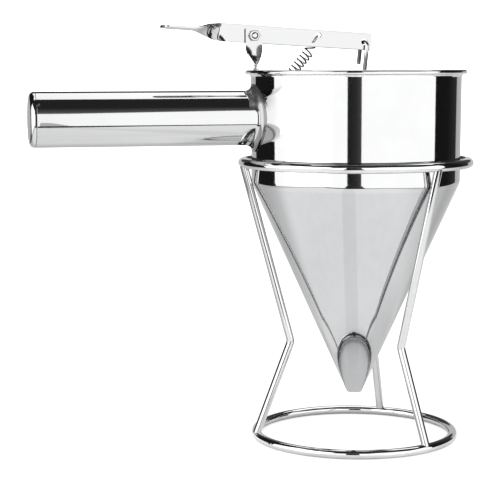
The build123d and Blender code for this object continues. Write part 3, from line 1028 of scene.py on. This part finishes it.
def lamp_card(sky):
    """A bright panel on the left, which fades into the sky upwards and to the front."""
    distance = 1.15
    left, middle, front = -97, -55, -40
    levels = ((-0.1, 3.7), (0.39, 3.7), (0.61, 3.3), (0.83, 2.7), (1.26, sky))
    rows = []
    for height, level in levels:
        posts = ((left, level), (middle, level), (front, sky))
        rows.append([post(distance, turn, height, tone) for turn, tone in posts])
    toned_card("lamp_card", rows)


def ceiling_card():
    """A dark ceiling that grows paler towards its front edge."""
    height = 1.0
    rear, middle = 0.03, -0.7
    inner_share = 0.7
    dark, inner_level, front_level = 0.032, 0.16, 0.4
    front_edge = ((-1.5, -1.75), (0.03, -1.75), (0.24, -1.27), (1.5, -1.27))
    rows = [[], [], [], []]
    for x, front in front_edge:
        inner = middle + (front - middle) * inner_share
        levels = ((rear, dark), (middle, dark), (inner, inner_level), (front, front_level))
        for row, (y, level) in zip(rows, levels):
            row.append((x, y, height, level))
    toned_card("top_card", rows)


# Heights of the floor that the camera sees, and of the two below it that only the steel mirrors
SEEN_HEIGHT = -0.0002
CARD_HEIGHT = -0.0003
MIRRORED_HEIGHT = -0.0004

# Front edge of the mirrored floor, from the left, and the edge of the dark lip before it
FLOOR_LEFT = -0.42
FLOOR_EDGE = (
    (FLOOR_LEFT, -0.31),
    (-0.13, -0.315),
    (-0.05, -0.35),
    (0.1, -0.375),
    (0.26, -0.235),
    (0.42, -0.04),
)
FLOOR_LIP = (
    (FLOOR_LEFT, -0.41),
    (-0.13, -0.41),
    (-0.05, -0.415),
    (0.115, -0.425),
    (0.285, -0.26),
    (0.445, -0.055),
)


def floor_cards():
    """A pale side and a dark front lip, which end the mirrored floor."""
    lip_level = 0.05
    side_levels = ((-0.5, 0.95), (-0.46, 0.7), (-0.41, 0.55))
    side_ends = (-0.36, 0.2)
    side_rows = []
    for x, level in side_levels:
        side_rows.append([(x, y, CARD_HEIGHT, level) for y in side_ends])
    toned_card("side_card", side_rows)
    lip_rows = []
    for line in (FLOOR_EDGE, FLOOR_LIP):
        lip_rows.append([(x, y, CARD_HEIGHT, lip_level) for x, y in line])
    toned_card("edge_card", lip_rows)


def past_line(x, y, point, normal):
    """Distance past a line on the floor, through a point and at right angles to a normal."""
    return (x - point[0]) * normal[0] + (y - point[1]) * normal[1]


def floor_light(finish):
    """How the mirrored floor's light falls off, and where the dispenser shades it."""
    stand, lamp_spot, shadow_spot = (0, 0), (-0.12, -0.2), (0, 0.03)
    x, y, z = finish.axes()
    off_stand = ring_distance(finish, x, y, stand)
    off_lamp = ring_distance(finish, x, y, lamp_spot)
    off_shadow = ring_distance(finish, x, y, shadow_spot)
    light = finish.remap(off_lamp, start=0.22, end=0.52, first=1, last=0.6)
    light = light * finish.remap(y, start=0.045, end=0.14, first=1, last=0.81)
    light = light * finish.remap(off_stand, start=0.06, end=0.14, first=1.1, last=1)

    past_left = past_line(x, y, point=(-0.06, 0), normal=(0.99, 0.139))
    past_front = past_line(x, y, point=(-0.04, -0.03), normal=(0.28, 0.96))
    shadow = finish.rise(past_left, start=-0.006, end=0.012)
    shadow = shadow * finish.rise(past_front, start=-0.008, end=0.012)
    shadow = shadow * finish.fall(off_shadow, start=0.1, end=0.16, depth=0.2)
    under = finish.fall(off_stand, start=0.05, end=0.06, depth=0.18)

    aim = radians(-24)
    beside = finish.magnitude(past_line(x, y, stand, (cos(aim), sin(aim))))
    ahead = past_line(x, y, stand, (sin(aim), -cos(aim)))
    strip = finish.fall(beside, start=0.018, end=0.026, depth=0.1)
    strip = strip * finish.rise(ahead, start=0.02, end=0.05)
    return light * (1 - strip) * (1 - finish.most(shadow, under))


def mirrored_floor(studio):
    """The floor that the steel mirrors. The camera doesn't see it."""
    right, back = 0.9, 1.5
    right_front = 0.5
    outline = (*FLOOR_EDGE, (right, right_front), (right, back), (FLOOR_LEFT, back))
    mesh = bmesh.new()
    mesh.faces.new([mesh.verts.new((x, y, MIRRORED_HEIGHT)) for x, y in outline])
    finish = matte("floor_mirrored_paint")
    tone = finish.mix(floor_light(finish) * studio.floor, grey(0), grey(1))
    floor = settled("floor_mirrored", mesh, finish.shade(tone, 1))
    floor.visible_camera = False


def seen_floor(studio):
    """The plain floor that the camera sees, with the dispenser's shadow. The steel doesn't mirror it."""
    reach = 3
    place = Matrix.Translation((0, 0, SEEN_HEIGHT))
    mesh = bmesh.new()
    bmesh.ops.create_grid(mesh, x_segments=1, y_segments=1, size=reach, matrix=place)
    finish = matte("floor_paint")
    finish.shader.inputs["Emission Color"].default_value = grey(1)
    finish.shader.inputs["Emission Strength"].default_value = studio.floor_glow
    floor = settled("floor", mesh, finish.shade(grey(studio.floor_paint), 1))
    floor.visible_glossy = False
    floor.visible_diffuse = False
    floor.visible_shadow = False


class DISPENSER_OT_set_studio(Operator):
    """Set the surround, the cards that the steel mirrors, the floor and the camera"""

    bl_idname = "dispenser.set_studio"
    bl_label = "Set Studio"

    def execute(self, context):
        scene = context.scene
        studio = scene.dispenser_studio
        world = bpy.data.worlds.new("studio_surround")
        world.use_nodes = True
        backdrop = world.node_tree.nodes["Background"]
        backdrop.inputs["Color"].default_value = grey(1)
        backdrop.inputs["Strength"].default_value = studio.sky
        scene.world = world
        scene.view_settings.view_transform = "Standard"

        camera_cards()
        wall_cards()
        lamp_card(studio.sky)
        ceiling_card()
        floor_cards()
        mirrored_floor(studio)
        seen_floor(studio)

        camera = bpy.data.objects.new("camera", bpy.data.cameras.new("camera"))
        scene.collection.objects.link(camera)
        camera.location = studio.camera_place
        camera.rotation_euler = (pi / 2 - studio.camera_pitch, studio.camera_roll, -studio.camera_yaw)
        camera.data.lens = studio.camera_lens
        scene.camera = camera
        return {"FINISHED"}


# Panel and registration


STEPS = (
    DISPENSER_OT_plate_stand,
    DISPENSER_OT_polish_funnel,
    DISPENSER_OT_polish_handle,
    DISPENSER_OT_brighten_lever,
    DISPENSER_OT_finish_plunger,
    DISPENSER_OT_wind_spring,
    DISPENSER_OT_set_studio,
)


class DISPENSER_PT_sidebar(Panel):
    """Lists the steps that finish the dispenser"""

    bl_label = "Batter Dispenser"
    bl_space_type = "VIEW_3D"
    bl_region_type = "UI"
    bl_category = "Dispenser"

    def draw(self, context):
        for step in STEPS:
            self.layout.operator(step.bl_idname)


GROUPS = {
    "dispenser_steel": SteelSettings,
    "dispenser_stand": StandSettings,
    "dispenser_funnel": FunnelSettings,
    "dispenser_lever": LeverSettings,
    "dispenser_spring": SpringSettings,
    "dispenser_studio": StudioSettings,
}


def register():
    for group in GROUPS.values():
        bpy.utils.register_class(group)
    for name, group in GROUPS.items():
        setattr(bpy.types.Scene, name, PointerProperty(type=group))
    for kind in (*STEPS, DISPENSER_PT_sidebar):
        bpy.utils.register_class(kind)


def unregister():
    for kind in (DISPENSER_PT_sidebar, *reversed(STEPS)):
        bpy.utils.unregister_class(kind)
    for name, group in GROUPS.items():
        delattr(bpy.types.Scene, name)
        bpy.utils.unregister_class(group)


def main():
    register()
    for step in STEPS:
        family, action = step.bl_idname.split(".")
        getattr(getattr(bpy.ops, family), action)()


if __name__ == "__main__":
    main()
